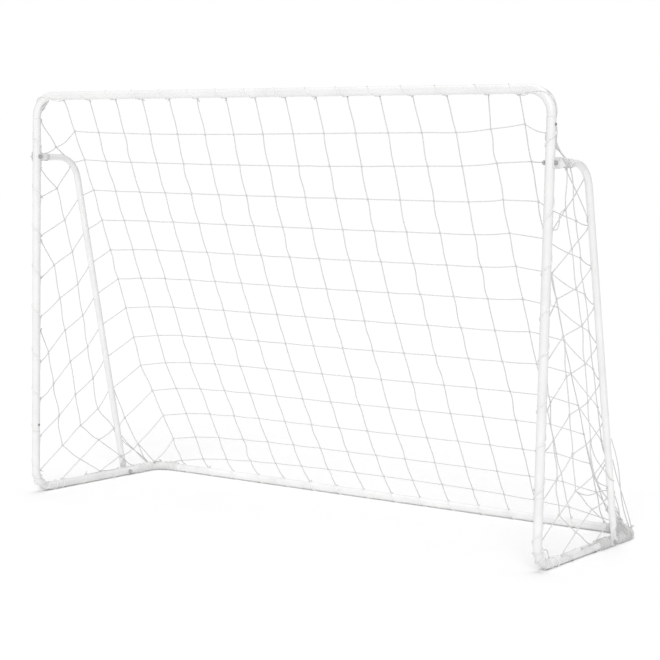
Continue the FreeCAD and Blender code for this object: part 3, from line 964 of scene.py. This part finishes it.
# Close turns round the rear corner, and on the right round the side tube before it.
CORNER_START_Y = 0.196
CORNER_END_X = POST_X - 0.10
CORNER_TURNS = {-1: 34, 1: 62}
SIDE_GATHER_Y = (0.062, 0.136)
SIDE_GATHER_TURNS = 14
bunch_lines = []
gather_lines = []
crossbar_stops = [stop(tie_at((c, 0))) for c in range(1, CELLS)]
rear_stops = [stop(tie_at((c, LAST_ROW + 1))) for c in range(CELLS - 1, 0, -1)]
lace_lines = [lacing(crossbar_stops), lacing(rear_stops)]
for sign in SIGNS:
    post_keys = [("tie", 1, "hitch")] if sign > 0 else []
    post_keys += [("tie", sign, r) for r in POST_TIES[sign]]
    post = [tie_at(k) for k in post_keys]
    inner_back = np.array((-sign * 0.5, 0.86, 0)) * ON_TUBE
    above_tab, below_tab = (np.array((sign * POST_X, FRONT_Y, z)) + inner_back for z in POST_TAB)
    top_tie = np.array(on_post(sign, UPPER_TIE_Z, 0.2, 0.98))
    stops = [stop(top_tie, 1, 1.6), stop(above_tab, 0, 1.0), stop(below_tab, 1, 1.8)]
    stops += [stop(p) for p in post]
    lace_lines.append(lacing(stops))
    # round the upper bend, with spare netting bunched along it
    first = tie_at((1, 0)) if sign < 0 else tie_at((CELLS - 1, 0))
    ends = outward_of(top_tie), outward_of(first)
    lace_lines.append(lacing(winding(top_tie, first, 1, *ends, 0.3)))
    bunch_lines += bunch(sign)
    # round the lower front bend and along the side tube
    side_first = tie_at(("tie", sign, 10))
    ends = outward_of(post[-1]), outward_of(side_first)
    lace_lines.append(lacing(winding(post[-1], side_first, 5, *ends, 0.8)))
    over = np.array((0, 0, 1.0)) * ON_TUBE
    before_tab, after_tab = (np.array((sign * POST_X, y, GROUND_Z)) + over for y in SIDE_TAB)
    feet = {k: tie_at((flap_column(sign, CORNER[sign] + k), "foot")) for k in (1, 2, 3)}
    stops = [stop(side_first), stop(tie_at(("tie", sign, 11))), stop(feet[3], 0, 1.0)]
    stops += [stop(before_tab, 0, 1.0), stop(after_tab, 0, 1.0), stop(feet[2], 1, 1.4)]
    stops += [stop(feet[1])]
    lace_lines.append(lacing(stops))
    # the thick gather round the rear corner: lacing cord on the left, netting on the right; the
    # lacing's lighter tone there is partly painted light against the shade among its tight turns
    begin = np.array((sign * POST_X, CORNER_START_Y, GROUND_Z)) + over
    end = np.array((sign * CORNER_END_X, REAR_Y, GROUND_Z)) + 0.7 * over
    ways = outward_of(begin), outward_of(end)
    gathered_here = gather_lines if sign > 0 else lace_lines
    gathered_here.append(lacing(winding(begin, end, CORNER_TURNS[sign], *ways, 0.5)))
    if sign > 0:
        begin, end = (np.array((POST_X, y, GROUND_Z)) + over for y in SIDE_GATHER_Y)
        ways = outward_of(begin), outward_of(end)
        gather_lines.append(lacing(winding(begin, end, SIDE_GATHER_TURNS, *ways, 0.5)))
lacing_piece = cord_mesh("net_lacing", lace_lines)
lacing_piece.data.materials.append(LACE_LIGHTENED)
cord_mesh("net_gathers", gather_lines)
cord_mesh("net_bunches", bunch_lines, CORD_R * 0.95, 6)

# ---------------------------------------------------------------- knots, bundles and trimmed ends
# These points have no knot of their own, or one wound round the brace.
NO_KNOT = ((CELLS, "foot"), ("tie", 1, "bend"))
BRACE_KNOTS = (("tie", -1, 1), (CELLS, "top"), (CELLS + 1, "top"), (CELLS + 2, "top"))
tie_lines = []
for key, spot in knots.items():
    if key in NO_KNOT or not (key[0] == "tie" or key[1] in ("top", "foot", 0, LAST_ROW + 1)):
        continue
    spot = np.array(spot)
    if key in BRACE_KNOTS:
        centre = np.array((spot[0], spot[1], BRACE_Z))
        turns = 3.2 if key[0] == "tie" else 1.4
        tie_lines.append(coil(centre, (0, 1, 0), ON_BRACE, turns, CORD_R * 2.1))
        continue
    centre, n1, n2 = loop_frame(place_on_loop(spot))
    out = unit(spot - centre)
    along_tube = np.cross(n1, n2)
    axis = out + along_tube * rng.gauss(0, 0.2)
    tie_lines.append(coil(spot + out * CORD_R, axis, CORD_R * 1.5, 1.8, CORD_R * 1.8, 0.15))
    if rng.random() < 0.45:
        away = out * 0.8 + along_tube * rng.choice((-1, 1)) * 0.7
        tie_lines.append(stub(spot + out * CORD_R * 1.5, away, rng.uniform(0.007, 0.013)))
# the long knot on the right post's inner side
top_knot = np.array(on_post(1, 1.340, 1.05, 0.4))
tie_lines.append(coil(top_knot, (0, 0, 1), CORD_R * 1.7, 5.0, CORD_R * 2.0, 0.2))


def strand(start, end, longer, sway):
    """A single cord from start to end, that many times as long as the gap."""
    return hang([start, end], [longer * np.linalg.norm(end - start)], sway)


# strands from the flaps' last knots to the rear corners
for sign in SIGNS:
    corner = knots[flap_column(sign, CORNER[sign]), "foot"]
    outer = np.array(on_side_tube(sign, 0.300, 0.3, 0.95))
    for n, (k, r) in enumerate(((0, 11), (0, 12), (1, 10))):
        knot = knots[flap_column(sign, CORNER[sign] + k), r]
        tie_lines.append(strand(knot, corner if n % 2 else outer, 1.03, 0.02))
# a spare cord across the inside of the right lower front bend
post_foot = np.array(on_post(1, 0.068, 0.2, 0.98))
side_foot = np.array(on_side_tube(1, -0.287, 0.2, 0.98))
loop_top = np.array((POST_X, -0.298, 0.062))
tie_lines.append(hang([post_foot, loop_top, side_foot], [0, 0, 0], 0.02))
# the hub's knot and its strands, to flap knots and to the side tube
tie_lines.append(coil(HUB, (0.2, 0.3, -1), CORD_R * 2.2, 3.2, CORD_R * 1.6, 0.2))
hub_to = [knots[flap_column(1, k), r] for k, r in ((2, 8), (2, 9), (3, 9), (1, 11), (1, 11))]
hub_to += [np.array(on_side_tube(1, y, 0.3, 0.95)) for y in (0.225, 0.25, 0.27)]
tie_lines += [strand(HUB, end, 1.02, 0.03) for end in hub_to]
# taut strands from the brace's outer side straight down to the far end of the corner
for z, y, inward in ((0.372, 0.352, 0.022), (0.300, 0.335, 0.005)):
    start = np.array((BRACE_X + 0.9 * ON_BRACE, *brace_at_height(z)[1:]))
    start += BEHIND * 0.5 * ON_BRACE
    end = np.array(on_side_tube(1, y, 0.2, 0.97)) - (inward, 0, 0)
    tie_lines.append(hang([start, end], [0], 0.01))
# a bunch of strands from the right post's outer side down to the brace's tab, with loose ends
BUNCH_STRANDS = 6
LOOSE_END = np.array((0.004, 0.004, -0.022))
for n in range(BUNCH_STRANDS):
    start = np.array(on_post(1, 1.372 - 0.012 * n, 0.12 * n - 0.95, 0.3 + 0.14 * n))
    middle = np.array((POST_X + 0.009, FRONT_Y + ON_TUBE + 0.002, 1.325 - 0.004 * n))
    end = np.array((BRACE_X + 0.006, FRONT_Y + 0.040 + 0.005 * n, BRACE_Z + 0.0205 - 0.0012 * n))
    tie_lines.append(hang([start, middle, end], [0, 0], 0.02))
    tie_lines.append(hang([end, end + LOOSE_END], [0], 0.02))
# the slack cord beside it, from the post to the flap's second knot
knot = knots[flap_column(1, 2), 2]
post_side = np.array((POST_X, FRONT_Y + ON_TUBE, 1.058))
low = (knot * 0.45 + post_side * 0.55) + np.array((0, 0, -0.026))
near_knot = knot * 0.8 + low * 0.2 + np.array((0, 0, 0.01))
tie_lines.append(hang([post_side, low, near_knot, knot], [0, 0, 0], 0.05))
cord_mesh("net_ties", tie_lines, CORD_R * 0.95, 6)

for piece in list(bpy.context.scene.objects):
    if piece.type == "MESH" and piece.name.startswith("net_") and not piece.data.materials:
        piece.data.materials.append(CORD)

# ---------------------------------------------------------------- floor, light, camera
FLOOR_HALF = 60.0
CORNER_SIGNS = ((-1, -1), (1, -1), (1, 1), (-1, 1))
floor_corners = [(x * FLOOR_HALF, y * FLOOR_HALF, 0) for x, y in CORNER_SIGNS]
floor_mesh = bpy.data.meshes.new("floor")
floor_mesh.from_pydata(floor_corners, [], [(0, 1, 2, 3)])
floor_mesh.materials.append(floor_finish())
floor = bpy.data.objects.new("floor", floor_mesh)
bpy.context.scene.collection.objects.link(floor)

world = bpy.data.worlds.new("studio")
world.use_nodes = True
bpy.context.scene.world = world
studio = world.node_tree
seen = add(studio, "ShaderNodeBackground", {"Color": (1, 1, 1, 1), "Strength": 1.0})
around = studio.nodes["Background"]
around.inputs["Color"].default_value = (0.985, 0.99, 1.0, 1)
around.inputs["Strength"].default_value = 0.38
mix = add(studio, "ShaderNodeMixShader", {
    0: add(studio, "ShaderNodeLightPath").outputs["Is Camera Ray"],
    1: around.outputs[0],
    2: seen.outputs[0],
})
studio.links.new(mix.outputs[0], studio.nodes["World Output"].inputs["Surface"])


def sun(name, azimuth, elevation, strength, spread):
    """A soft distant lamp; azimuth as a viewer standing there would look from."""
    lamp = bpy.data.lights.new(name, "SUN")
    lamp.energy = strength
    lamp.angle = math.radians(spread)
    holder = bpy.data.objects.new(name, lamp)
    a, e = math.radians(azimuth), math.radians(elevation)
    holder.rotation_euler = (math.pi / 2 - e, 0, a)
    bpy.context.scene.collection.objects.link(holder)


sun("key", 25, 32, 1.55, 35)
sun("top", 200, 80, 1.42, 60)

camera_data = bpy.data.cameras.new("camera")
camera = bpy.data.objects.new("camera", camera_data)
bpy.context.scene.collection.objects.link(camera)
bpy.context.scene.camera = camera
YAW, PITCH, ROLL = (math.radians(v) for v in (34.9, 6.0, 1.08))
camera_data.sensor_width = 36
camera_data.lens = 95.3
camera_data.shift_x = 0.038
camera_data.shift_y = 0.047
camera.location = (3.5028, -5.1412, 1.2051)
forward = np.array((-math.sin(YAW) * math.cos(PITCH), math.cos(YAW) * math.cos(PITCH),
                    -math.sin(PITCH)))
right = np.array((math.cos(YAW), math.sin(YAW), 0))
up = np.cross(right, forward)
tilted_right = right * math.cos(ROLL) + up * math.sin(ROLL)
tilted_up = up * math.cos(ROLL) - right * math.sin(ROLL)
turn = Matrix([list(v) for v in zip(tilted_right, tilted_up, -forward)])
camera.rotation_euler = turn.to_euler()
bpy.context.scene.view_settings.view_transform = "Standard"
